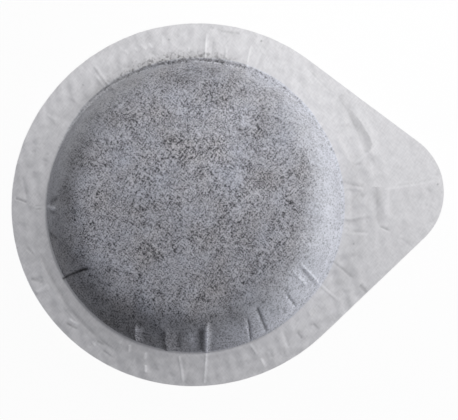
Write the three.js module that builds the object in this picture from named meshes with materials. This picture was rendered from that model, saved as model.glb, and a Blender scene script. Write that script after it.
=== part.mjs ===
// Single-serve coffee pod: a pressed puck of ground coffee between two sheets of filter paper.
// The sheets are sealed to each other all round the puck, and their rim runs out into a pull tab.
// Millimetres, +Z up. The origin is on the puck's axis, on the flat base that the pod rests on.
// +X points along the pull tab.
import * as THREE from "three";

// Filter paper
const PAPER_THICKNESS = 0.12;

// Rim, from the puck outwards
const FOOT_RADIUS = 22; // inside of the paper, where the wall meets the rim
const FOOT_SETBACK = 0.7; // where the rounding between wall and rim starts, from their corner
const LOOSE_BAND_WIDTH = 2.2; // next to the puck, where the two sheets aren't sealed
const LOOSE_BAND_LIFT = 0.1; // how far the sheets stand apart at the foot of the wall
const SEAL_WIDTH = 3.3;
const RIM_OFFSET_X = 0.3; // the rim was cut a little off the puck's axis
const RIM_OFFSET_Y = 0.6;

// Pull tab
const TAB_LENGTH = 9.5; // from the round rim to the tip
const TAB_NOSE_RADIUS = 9.6;

// Upper side, drawn up over the puck
const UPPER_WALL_HEIGHT = 6.2;
const UPPER_WALL_RUN = 2.2; // how far the wall leans in towards its top
const UPPER_SHOULDER_SETBACK = 3.8; // where the rounding of the shoulder starts, from its corner
const UPPER_CROWN = 1.1; // how much higher the middle is than the shoulder

// Lower side, a shallow dish with a flat base
const LOWER_WALL_HEIGHT = 3.2;
const LOWER_WALL_RUN = 2.6;
const LOWER_SHOULDER_SETBACK = 1.2;

// Gathers in the upper wall: ridges stand out, creases are pressed in towards the puck
const RIDGE_RELIEF = 0.6;
const CREASE_DEPTH = 0.45;
const GATHER_WIDTH = 2.4;
const PUCK_CLEARANCE = 0.1; // between the puck and the deepest crease

// Each gather's place in degrees round from the tab, and its size: 1 is a full ridge, -1 a full crease
const GATHERS = [
  { at: 69, size: 0.4 },
  { at: 84, size: 0.4 },
  { at: 123, size: 0.5 },
  { at: 189, size: -0.5 },
  { at: 207, size: -1 },
  { at: 243, size: 0.7 },
  { at: 255, size: 0.7 },
  { at: 267, size: -0.8 },
  { at: 270, size: 1 },
  { at: 291, size: -1 },
  { at: 297, size: -0.8 },
  { at: 306, size: -0.5 },
  { at: 312, size: -0.8 },
  { at: 321, size: 0.6 },
  { at: 327, size: 1 },
];

// Steps of the turned and rounded surfaces
const SHEET_COLUMNS = 120;
const PUCK_COLUMNS = 60;
const CROWN_STEPS = 3;
const UPPER_SHOULDER_STEPS = 4;
const LOWER_SHOULDER_STEPS = 2;
const FOOT_STEPS = 2;

// Sizes that follow from the ones above
const sealRadius = FOOT_RADIUS + LOOSE_BAND_WIDTH;
const rimRadius = sealRadius + SEAL_WIDTH;
const noseCentre = rimRadius + TAB_LENGTH - TAB_NOSE_RADIUS;
const sealHeight = PAPER_THICKNESS + LOWER_WALL_HEIGHT;
const puckInset = CREASE_DEPTH + PUCK_CLEARANCE;
const rimOffset = new THREE.Vector2(RIM_OFFSET_X, RIM_OFFSET_Y);

// The two sides of the pod, measured from the plane of the seal: up is the way that each one bulges
const UPPER_SIDE = {
  up: 1,
  wallHeight: UPPER_WALL_HEIGHT,
  wallRun: UPPER_WALL_RUN,
  setback: UPPER_SHOULDER_SETBACK,
  shoulderSteps: UPPER_SHOULDER_STEPS,
  crown: UPPER_CROWN,
  crownSteps: CROWN_STEPS,
  lift: LOOSE_BAND_LIFT,
};
const LOWER_SIDE = {
  up: -1,
  wallHeight: LOWER_WALL_HEIGHT,
  wallRun: LOWER_WALL_RUN,
  setback: LOWER_SHOULDER_SETBACK,
  shoulderSteps: LOWER_SHOULDER_STEPS,
  crown: 0,
  crownSteps: 1,
  lift: 0,
};

const PAPER = new THREE.MeshStandardMaterial({ color: 0xd3d4d6, roughness: 0.92, metalness: 0 });
const COFFEE = new THREE.MeshStandardMaterial({ color: 0x3d281a, roughness: 0.95, metalness: 0 });

// The share of a wall's height at which its gathers are fullest, half way up its straight part.
function fullClimb(side) {
  const length = Math.hypot(side.wallRun, side.wallHeight - side.lift);
  return (FOOT_SETBACK + length - side.setback) / 2 / length;
}

// Points that round off a corner between two others.
function bend(before, corner, after, setback, steps) {
  const start = before.clone().sub(corner).setLength(setback).add(corner);
  const end = after.clone().sub(corner).setLength(setback).add(corner);
  return new THREE.QuadraticBezierCurve(start, corner, end).getPoints(steps);
}

// The corners of one side's section, moved outwards from the axis and away from the seal.
function corners(side, outwards, away) {
  const level = (height) => side.up * (height + away);
  const shoulderRadius = FOOT_RADIUS - side.wallRun + outwards;
  const slope = (2 * side.crown) / (shoulderRadius + side.setback);
  const crownRadius = shoulderRadius - side.setback;
  return {
    middle: new THREE.Vector2(0, level(side.wallHeight + side.crown)),
    crownControl: new THREE.Vector2(crownRadius / 2, level(side.wallHeight + side.crown)),
    crownEnd: new THREE.Vector2(crownRadius, level(side.wallHeight + side.setback * slope)),
    shoulder: new THREE.Vector2(shoulderRadius, level(side.wallHeight)),
    foot: new THREE.Vector2(FOOT_RADIUS + outwards, level(side.lift)),
    seal: new THREE.Vector2(sealRadius, level(0)),
    rim: new THREE.Vector2(rimRadius, level(0)),
  };
}

// A side's section from the axis to the top of its wall.
function topPoints(side, c) {
  const crown = new THREE.QuadraticBezierCurve(c.middle, c.crownControl, c.crownEnd);
  return [
    ...crown.getPoints(side.crownSteps).slice(0, -1),
    ...bend(c.crownEnd, c.shoulder, c.foot, side.setback, side.shoulderSteps),
  ];
}

// A sheet's face from the axis to the round rim, with a ring where its gathers are fullest.
function facePoints(side, outwards, away) {
  const c = corners(side, outwards, away);
  return [
    ...topPoints(side, c),
    c.foot.clone().lerp(c.shoulder, fullClimb(side)),
    ...bend(c.shoulder, c.foot, c.seal, FOOT_SETBACK, FOOT_STEPS),
    c.seal,
    c.rim,
  ];
}

// Radius of the rim's outline from its own centre: a round rim and a round nose, joined by straight tangents.
function outlineRadius(angle) {
  const turn = Math.min(angle, 2 * Math.PI - angle);
  const tangent = Math.acos((rimRadius - TAB_NOSE_RADIUS) / noseCentre);
  const noseEdge = Math.atan2(
    TAB_NOSE_RADIUS * Math.sin(tangent),
    noseCentre + TAB_NOSE_RADIUS * Math.cos(tangent),
  );
  if (turn >= tangent) return rimRadius;
  if (turn >= noseEdge) return rimRadius / Math.cos(tangent - turn);
  const across = noseCentre * Math.sin(turn);
  return noseCentre * Math.cos(turn) + Math.sqrt(TAB_NOSE_RADIUS ** 2 - across ** 2);
}

// How far gathers push the wall outwards at an angle, where the share of the wall's height is climb.
function gatherRelief(gathers, angle, climb, full) {
  const { smoothstep, degToRad } = THREE.MathUtils;
  const fade = smoothstep(climb, 0, full) * (1 - smoothstep(climb, full, 1));
  const halfWidth = GATHER_WIDTH / 2 / FOOT_RADIUS;
  let relief = 0;
  for (const { at, size } of gathers) {
    const apart = Math.abs(angle - degToRad(at));
    const share = Math.max(0, 1 - apart / halfWidth);
    relief += share * size * (size > 0 ? RIDGE_RELIEF : CREASE_DEPTH);
  }
  return relief * fade;
}

// A section turned about +Z.
function turned(points, columns) {
  return new THREE.LatheGeometry(points, columns).rotateX(Math.PI / 2);
}

// One sheet of paper: turned, gathered round the puck, and its rim drawn out to the tab.
function sheetGeometry(side, gathers) {
  const lean = Math.tan(Math.atan2(side.wallHeight - side.lift, side.wallRun) / 2);
  const inner = facePoints(side, 0, 0);
  const outer = facePoints(side, PAPER_THICKNESS * lean, PAPER_THICKNESS);
  const section = side.up > 0 ? [...inner, ...outer.reverse()] : [...outer, ...inner.reverse()];
  const geometry = turned(section, SHEET_COLUMNS);
  const position = geometry.attributes.position;
  const full = fullClimb(side);
  for (let i = 0; i < position.count; i++) {
    const flat = new THREE.Vector2(position.getX(i), position.getY(i));
    const radius = flat.length();
    const angle = flat.angle();
    const climb = (side.up * position.getZ(i) - side.lift) / (side.wallHeight - side.lift);
    const drawn = Math.max(0, radius - sealRadius) / SEAL_WIDTH;
    const relief = gatherRelief(gathers, angle, climb, full);
    flat.setLength(radius + relief + drawn * (outlineRadius(angle) - rimRadius));
    flat.addScaledVector(rimOffset, drawn);
    position.setXY(i, flat.x, flat.y);
  }
  geometry.computeVertexNormals();
  return geometry;
}

// The puck fills the space between the sheets and sits flat on the lower one.
function puckGeometry() {
  const above = corners(UPPER_SIDE, -puckInset, -puckInset);
  const below = corners(LOWER_SIDE, -puckInset, 0);
  const section = [
    ...topPoints(LOWER_SIDE, below),
    below.foot,
    ...topPoints(UPPER_SIDE, above).reverse(),
  ];
  return turned(section, PUCK_COLUMNS);
}

function named(name, geometry, material) {
  const mesh = new THREE.Mesh(geometry, material);
  mesh.name = name;
  mesh.position.z = sealHeight;
  return mesh;
}

const pod = new THREE.Group();
pod.name = "coffee_pod";
pod.add(named("lower_filter_paper", sheetGeometry(LOWER_SIDE, []), PAPER));
pod.add(named("coffee_puck", puckGeometry(), COFFEE));
pod.add(named("upper_filter_paper", sheetGeometry(UPPER_SIDE, GATHERS), PAPER));

export default pod;
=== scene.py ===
"""Looks of a single-serve coffee pod: a puck of ground coffee sealed between two sheets of filter paper."""

import logging
import math
from dataclasses import dataclass
from enum import Enum
from itertools import pairwise

import bpy
import numpy as np
from mathutils import Matrix, Vector


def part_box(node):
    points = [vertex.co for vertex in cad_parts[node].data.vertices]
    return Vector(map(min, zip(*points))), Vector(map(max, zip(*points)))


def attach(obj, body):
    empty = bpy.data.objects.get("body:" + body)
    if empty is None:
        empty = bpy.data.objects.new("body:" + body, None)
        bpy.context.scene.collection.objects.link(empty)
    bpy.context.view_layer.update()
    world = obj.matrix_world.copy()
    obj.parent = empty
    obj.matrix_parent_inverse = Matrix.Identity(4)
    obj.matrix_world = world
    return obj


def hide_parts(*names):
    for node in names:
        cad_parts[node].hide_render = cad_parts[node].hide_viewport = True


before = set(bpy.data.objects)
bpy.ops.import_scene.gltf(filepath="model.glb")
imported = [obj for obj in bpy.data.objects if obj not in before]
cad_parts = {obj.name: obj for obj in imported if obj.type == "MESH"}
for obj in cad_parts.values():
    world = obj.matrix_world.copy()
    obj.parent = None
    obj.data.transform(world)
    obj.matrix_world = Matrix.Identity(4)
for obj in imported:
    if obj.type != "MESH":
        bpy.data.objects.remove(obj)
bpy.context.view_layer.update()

LOG = logging.getLogger("coffee_pod")
MM = 0.001
FULL_TURN = 2 * math.pi
IMAGE_SIZE = (458, 420)  # pixels
BODY = "root"
MERGE_DISTANCE = 1e-6  # metres
SMOOTH_ANGLE = 60  # degrees
RING_STEP = 5  # degrees between the points of a fold that runs round the puck
COLUMN_GRID = 7201  # angles at which the crowding of a sheet's columns is worked out

# Inputs of a Mix node, by number, because its kinds of value share their names
NUMBER_A, NUMBER_B = 2, 3
COLOUR_A, COLOUR_B = 6, 7

# Starts of the random draws
WAVE_SEED = 3
CRINKLE_SEED = 5
LUMP_SEED = 7
RIM_CREASE_SEED = 11
LOWER_GATHER_SEED = 23

Array = np.ndarray
Pair = tuple[float, float]
Pairs = tuple[Pair, ...]
Tree = bpy.types.NodeTree
Source = bpy.types.Node | bpy.types.NodeSocket


class Piece(Enum):
    """The pod's pieces, by the names of their solids."""

    UPPER_PAPER = "upper_filter_paper"
    LOWER_PAPER = "lower_filter_paper"
    PUCK = "coffee_puck"


class Slot(Enum):
    """The record's material slots."""

    FILTER_PAPER = "filter_paper"
    GROUND_COFFEE = "ground_coffee"


class Mark(Enum):
    """Values that the sheets carry at their points, for the paper's finish to read."""

    COFFEE = "coffee_behind"
    GRAIN = "grain_contact"
    DUST = "coffee_dust"
    # Painted light and shade along the folds, on the shoulder and in bands round the wall, with the top's
    # pale and dark coffee patches
    PAINTED_LIGHT_AND_TONE = "painted_light_and_tone"


def hex_to_linear(code: str) -> tuple[float, float, float, float]:
    """Turns an sRGB colour into the linear one that shaders take.

    Args:
        code: The colour as #rrggbb.

    Returns:
        Linear red, green, blue and an alpha of 1.
    """
    channels = [int(code[i : i + 2], 16) / 255 for i in (1, 3, 5)]
    red, green, blue = (c / 12.92 if c <= 0.04045 else ((c + 0.055) / 1.055) ** 2.4 for c in channels)
    return red, green, blue, 1.0


def new_material(name: str) -> bpy.types.Material:
    """Makes a material that has no nodes yet.

    Args:
        name: What the real material is.

    Returns:
        The material.
    """
    material = bpy.data.materials.new(name)
    material.use_nodes = True
    material.node_tree.nodes.clear()
    return material


def add_node(tree: Tree, kind: str, inputs: dict | None = None, **settings: object) -> bpy.types.Node:
    """Adds a shader node with its settings and links.

    Args:
        tree: The node tree that it goes into.
        kind: The node's type, without the ShaderNode that all of them start with.
        inputs: Values by input name or number. A socket is linked, and so is a node, by the first of its
            outputs that is in use. Anything else is set.
        **settings: Properties of the node.

    Returns:
        The new node.
    """
    node = tree.nodes.new("ShaderNode" + kind)
    for name, value in settings.items():
        setattr(node, name, value)
    for key, value in (inputs or {}).items():
        if isinstance(value, bpy.types.Node):
            value = next(output for output in value.outputs if output.enabled)
        if isinstance(value, bpy.types.NodeSocket):
            tree.links.new(value, node.inputs[key])
        else:
            node.inputs[key].default_value = value
    return node


def smooth(value: Array) -> Array:
    """Eases values from 0 to 1, and holds them at the ends."""
    share = np.clip(value, 0, 1)
    return share * share * (3 - 2 * share)


def bell(value: Array, centre: float, reach: float) -> Array:
    """Gives 1 at the centre, and dies away on both sides of it."""
    return np.exp(-(((value - centre) / reach) ** 2))


def ripples(plan: Array, wavelength: float, seed: int) -> Array:
    """Makes irregular bumps, by adding waves that run in all directions.

    Args:
        plan: Points in plan, in mm.
        wavelength: Usual distance between bumps, in mm.
        seed: Start of the random directions and phases.

    Returns:
        The bumps' height at each point, mostly from -2 to 2.
    """
    count = 24
    shortest, longest = 0.7, 1.4
    random = np.random.default_rng(seed)
    turn = random.uniform(0, FULL_TURN, count)
    phase = random.uniform(0, FULL_TURN, count)
    pitch = FULL_TURN / (wavelength * random.uniform(shortest, longest, count))
    waves = plan @ np.stack([pitch * np.cos(turn), pitch * np.sin(turn)]) + phase
    return np.cos(waves).sum(axis=1) * math.sqrt(2 / count)


def bend(before: Array, corner: Array, after: Array, setback: float, steps: int) -> Array:
    """Rounds a corner between two points.

    Args:
        before: The point before the corner.
        corner: The corner itself.
        after: The point after it.
        setback: Distance from the corner at which the rounding starts and ends.
        steps: Number of steps in the rounding.

    Returns:
        The rounding's points, both ends included.
    """
    start = corner + (before - corner) * setback / np.hypot(*(before - corner))
    end = corner + (after - corner) * setback / np.hypot(*(after - corner))
    return curve(start, corner, end, steps)


def curve(start: Array, control: Array, end: Array, steps: int) -> Array:
    """Gives points along a quadratic Bezier curve, both ends included."""
    share = np.linspace(0, 1, steps + 1)[:, None]
    return (1 - share) ** 2 * start + 2 * share * (1 - share) * control + share**2 * end


@dataclass(frozen=True)
class PodSizes:
    """Sizes of the pod in mm, from its solids."""

    thickness: float
    foot_radius: float
    seal_height: float
    top_height: float
    rim_radius: float
    rim_centre: Pair
    tab_tip: float
    puck_gap: float = 0.55
    loose_band: float = 2.2
    nose_radius: float = 9.6

    @classmethod
    def from_frame(cls) -> "PodSizes":
        """Reads the sizes off the solids' boxes.

        Returns:
            The sizes.
        """
        upper_low, upper_high = (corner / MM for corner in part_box(Piece.UPPER_PAPER.value))
        lower_low, lower_high = (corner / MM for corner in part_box(Piece.LOWER_PAPER.value))
        puck_low, puck_high = (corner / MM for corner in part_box(Piece.PUCK.value))
        rim_radius = (upper_high.y - upper_low.y) / 2
        return cls(
            thickness=puck_low.z - lower_low.z,
            foot_radius=puck_high.x + cls.puck_gap,
            seal_height=lower_high.z,
            top_height=upper_high.z,
            rim_radius=rim_radius,
            rim_centre=(upper_low.x + rim_radius, upper_low.y + rim_radius),
            tab_tip=upper_high.x,
        )

    @property
    def seal_radius(self) -> float:
        """Where the two sheets come together."""
        return self.foot_radius + self.loose_band

    def outline(self, angle: Array) -> Array:
        """Gives the rim's outline: round, and drawn out to a round nose by straight tangents.

        Args:
            angle: Angles from the tab's axis, about the rim's own centre.

        Returns:
            The outline's radius at each angle.
        """
        nose_centre = self.tab_tip - self.rim_centre[0] - self.nose_radius
        tangent = math.acos((self.rim_radius - self.nose_radius) / nose_centre)
        nose_edge = math.atan2(
            self.nose_radius * math.sin(tangent), nose_centre + self.nose_radius * math.cos(tangent)
        )
        turn = np.abs(np.angle(np.exp(1j * angle)))
        across = np.minimum(nose_centre * np.sin(turn), self.nose_radius)
        nose = nose_centre * np.cos(turn) + np.sqrt(self.nose_radius**2 - across**2)
        straight = self.rim_radius / np.cos(tangent - turn)
        return np.where(turn >= tangent, self.rim_radius, np.where(turn >= nose_edge, straight, nose))


@dataclass(frozen=True)
class Fold:
    """A ridge or a crease in the paper.

    Attributes:
        path: Its points: degrees round from the tab, and mm outwards from the foot of the wall.
        height: How far its line stands out in mm, negative for a crease.
        tone: How much lighter its line is than the paper round it, negative where it is darker: painted
        highlights along ridges and painted shade in creases, partly also coffee showing where the paper is
        pressed on it.
        line: Half the width of that line, in mm.
        fade: Lengths over which its start and its end die away, in mm.
        flanks: Widths of the flanks on the left and on the right of the path, in mm.
        sides: How much lighter those two flanks are, most of all along the line: a painted lit flank and a
        painted shaded one, partly also where the paper stands off the coffee.
    """

    path: Pairs
    height: float = 0.0
    tone: float = 0.0
    line: float = 0.15
    fade: Pair = (0.3, 0.3)
    flanks: Pair = (0.3, 0.3)
    sides: Pair = (0.0, 0.0)

    @classmethod
    def ring(
        cls, start: int, end: int, outward: float, *tint: float | Pair, **relief: float | Pair
    ) -> "Fold":
        """Makes a fold that runs round the puck.

        Args:
            start: Where it starts, in degrees round from the tab.
            end: Where it ends.
            outward: How far out from the foot it runs, in mm.
            *tint: Its tone, line and fade.
            **relief: Its height and flanks, where it isn't flat.

        Returns:
            The fold.
        """
        steps = abs(end - start) // RING_STEP + 2
        path = tuple((degrees, outward) for degrees in np.linspace(start, end, steps))
        return cls(path, relief.pop("height", 0.0), *tint, **relief)

    def press(self, plan: Array, foot_radius: float) -> tuple[Array, Array]:
        """Works out what the fold does to a sheet.

        Args:
            plan: The sheet's points, unrolled, in mm.
            foot_radius: Radius of the foot of the wall, in mm.

        Returns:
            The fold's height in mm and its tone, at each point, the tone being painted light and shade.
        """
        turn = np.radians([point[0] for point in self.path])
        reach = foot_radius + np.array([point[1] for point in self.path])
        points = np.stack([reach * np.cos(turn), reach * np.sin(turn)], axis=1)
        nearest = np.full(len(plan), np.inf)
        beside = np.zeros(len(plan))
        along = np.zeros(len(plan))
        length = 0.0
        for start, end in pairwise(points):
            step = end - start
            run = np.hypot(*step)
            share = np.clip((plan - start) @ step / run**2, 0, 1)
            offset = plan - start - share[:, None] * step
            distance = np.hypot(offset[:, 0], offset[:, 1])
            side = np.sign(step[0] * offset[:, 1] - step[1] * offset[:, 0])
            closer = distance < nearest
            nearest = np.where(closer, distance, nearest)
            beside = np.where(closer, side, beside)
            along = np.where(closer, length + share * run, along)
            length += run
        strength = smooth(along / self.fade[0]) * smooth((length - along) / self.fade[1])
        climb = np.clip(1 - nearest / np.where(beside > 0, *self.flanks), 0, 1)
        lighter = np.where(beside > 0, *self.sides) * climb + self.tone * bell(nearest, 0, self.line)
        return self.height * strength * climb, strength * lighter


# Gathers in the upper wall, where the paper was drawn up over the puck, each from the foot upwards,
# with painted highlights and painted shade along their lines and flanks, partly also where the paper
# stands off the coffee, and broad paler and darker bands that run round it
GATHERS = (
    Fold(((176.8, -2.6), (176, -4.3), (176, -5.6)), -0.15, -0.4, 0.35, (0.4, 0.8), (0.5, 0.5)),
    Fold(((176.8, -1), (178.2, -2.6), (179.6, -4.2), (180, -5.4)), 0.2, 0.6, 0.25, (0.3, 0.8), (0.4, 0.4)),
    Fold(((178.6, -2), (180.6, -3.8), (181.8, -5)), -0.15, -0.4, 0.3, (0.4, 0.8), (0.4, 0.4)),
    Fold(((187.4, -0.9), (190.2, -2.8), (192.8, -4.4)), -0.15, -0.45, 0.3, (0.5, 1), (0.5, 0.5)),
    Fold(
        ((205.8, 0.3), (207.4, -2.9), (209, -5.2), (210.2, -6.7), (212.2, -7.8)),
        -0.3, -0.65, 0.17, (0.2, 1), (0.3, 0.8), sides=(0, -0.25),
    ),
    Fold(((245, -0.6), (243.2, -5.3)), 0.4, 0, 0.15, (0.8, 1.2), (2.4, 1.2), sides=(-0.15, 1.8)),
    Fold(((257.2, -0.3), (256.4, -6.2)), 0.4, 0, 0.15, (0.6, 1.8), (1.2, 1.8), sides=(-0.45, 0.5)),
    Fold(((262, -1.5), (262, -5.8)), -0.1, -0.5, 0.28, (0.5, 1.2), (0.4, 0.4)),
    Fold(((266.8, -3), (267.2, -5.9)), 0.1, 0.35, 0.4, (1, 1), (0.6, 0.6)),
    Fold(((270.7, -0.6), (271.9, -6.6)), -0.1, -0.62, 0.48, (0.5, 1.2), (0.5, 0.5)),
    Fold(((272.4, -0.1), (273.6, -4.9), (275.4, -7.6)), 0.55, 0.85, 0.2, (0.2, 2), (0.7, 0.6)),
    Fold(
        ((290, -0.1), (291.4, -3.8), (292.6, -6.6)),
        -0.2, -0.7, 0.15, (0.4, 1.5), (0.45, 0.3), sides=(0.55, 0),
    ),
    Fold(
        ((297.1, -0.4), (297.5, -4.6), (298.3, -7.2)),
        -0.2, -0.65, 0.17, (0.4, 1.5), (0.4, 0.3), sides=(0.1, 0),
    ),
    Fold(((302, -3.8), (302.8, -5.3)), -0.1, -0.2, 0.2, (0.4, 0.5)),
    Fold(((304.2, -3.1), (305.2, -4.7)), -0.1, -0.2, 0.2, (0.4, 0.5)),
    Fold(((306.6, -1.8), (307, -3.7)), -0.1, -0.25, 0.2, (0.4, 0.5)),
    Fold(
        ((312, -1.1), (311.8, -4), (312.2, -5.9)),
        -0.2, -0.45, 0.15, (0.5, 1.2), (0.45, 0.3), sides=(0.25, 0),
    ),
    Fold(((320.4, -3), (320.8, -5.8), (321.6, -7.6)), 0.15, 0.2, 0.15, (0.6, 1.2), (0.35, 0.35)),
    Fold(((323.4, -0.4), (323.5, -4.4), (324.9, -7)), -0.1, -0.24, 0.22, (0.4, 2), (0.4, 0.3)),
    Fold(((324.9, 0), (325, -2.9), (325.4, -5.5), (326.2, -7)), 0.15, 0.22, 0.12, (0.3, 1), (0.4, 0.3)),
    # Broad bands: painted shade on the lower-left shoulder and wall, and painted light on the lower-right
    # wall
    Fold.ring(205, 250, -10, -0.18, 1.6, (3, 3)),
    Fold.ring(212, 262, -3, -0.18, 2.5, (4, 4)),
    Fold.ring(280, 326, -3.2, 0.12, 3, (5, 3)),
    Fold.ring(300, 364, -3.2, 0.08, 3, (5, 5)),
    Fold.ring(284, 354, -1.1, 0.2, 0.85, (6, 5)),
    Fold.ring(212, 250, -1.5, -0.15, 1, (3, 3)),
    Fold(((66, -0.6), (62.8, -4.2)), 0.1, 0.12, 0.35, (0.5, 1.2), (0.6, 0.6)),
    Fold(((89, 0.2), (87.4, -5.9)), 0.15, 0.15, 0.2, (0.5, 2), (0.4, 0.4)),
    Fold(((121.5, 0.8), (120.8, -5.6)), 0.25, 0.08, 0.15, (0.5, 2.5), (0.6, 0.6)),
)

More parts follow.
